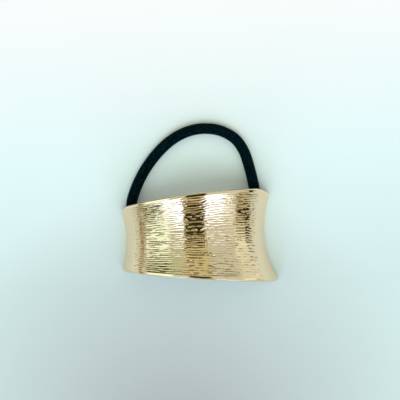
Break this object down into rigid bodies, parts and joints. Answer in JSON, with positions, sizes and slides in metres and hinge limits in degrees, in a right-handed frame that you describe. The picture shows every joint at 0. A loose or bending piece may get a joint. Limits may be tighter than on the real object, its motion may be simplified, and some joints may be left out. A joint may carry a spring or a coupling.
{
  "type": "ponytail cuff hair tie",
  "caption": "Arched, flared metal ponytail cuff with an engraved grain, narrow at one end and wide at the other, and a round black hair elastic held behind it.",
  "frame": {"origin": "middle of the arch's opening, at the waist and at the level of the surface that the plate's two ends rest on", "axes": "+Y along the hair, towards the open loop of the elastic; +X towards the plate's wide end; +Z out through the plate's face"},
  "size_m": [0.0579, 0.0589, 0.0211],
  "materials": {
    "gold_plate": "bright pale gold plating, engraved with long wavy lines outside, plain polished inside",
    "black_elastic": "fine braided polyester over a rubber core, soft sheen"
  },
  "bodies": {
    "root": {"cuff": "gold_plate", "elastic_band": "black_elastic"}
  },
  "joints": []
}
